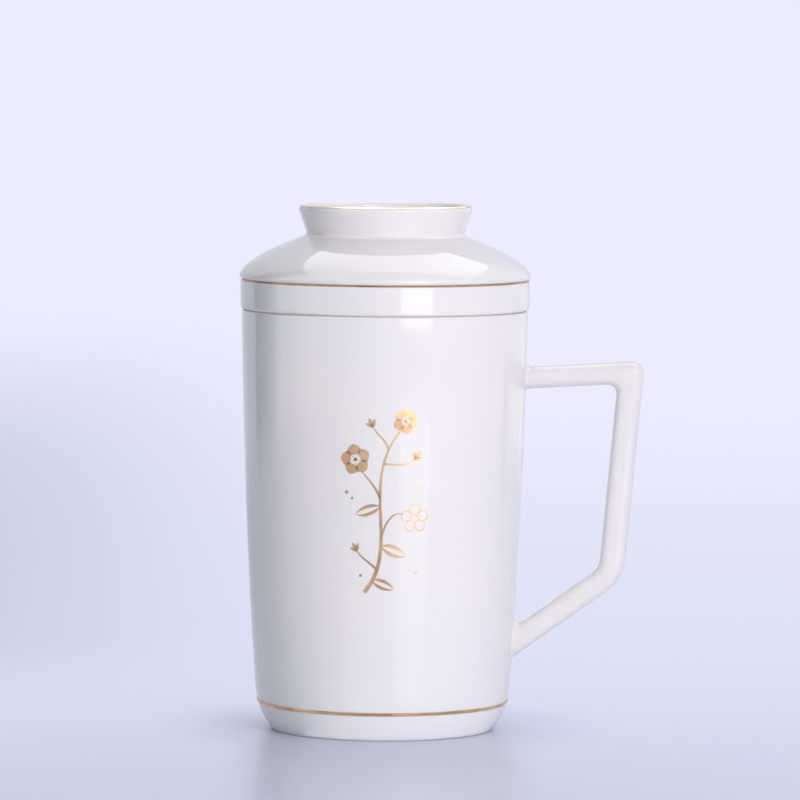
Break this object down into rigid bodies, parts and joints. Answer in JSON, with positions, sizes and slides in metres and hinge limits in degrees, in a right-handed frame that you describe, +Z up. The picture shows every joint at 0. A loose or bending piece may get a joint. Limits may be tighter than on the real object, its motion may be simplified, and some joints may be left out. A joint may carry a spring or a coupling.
{
  "type": "tea mug with infuser",
  "caption": "Tall tapered porcelain tea mug with an angular side handle, a lift-out pierced infuser that rests on the lip, and a domed lift-off lid with a flared ring grip.",
  "frame": {"origin": "centre of the foot ring on the table, on the mug's axis", "axes": "+Z up along the mug's axis, +X towards the handle"},
  "size_m": [0.1135, 0.0816, 0.147],
  "materials": {
    "porcelain": "clear gloss glaze, unglazed on the foot ring",
    "gilt": "burnished gilding"
  },
  "bodies": {
    "mug": {"mug_body": "porcelain", "mug_handle": "porcelain", "gilt_foot_line": "gilt"},
    "infuser": {"infuser_basket": "porcelain", "gilt_collar_line": "gilt"},
    "lid": {"lid_dome": "porcelain", "lid_grip": "porcelain", "gilt_grip_rim": "gilt"}
  },
  "joints": [
    {"name": "infuser_lift", "type": "slide", "parent": "mug", "child": "infuser", "axis": [0, 0, 1], "range_m": [0, 0.085]},
    {"name": "lid_lift", "type": "slide", "parent": "infuser", "child": "lid", "axis": [0, 0, 1], "range_m": [0, 0.06]}
  ]
}
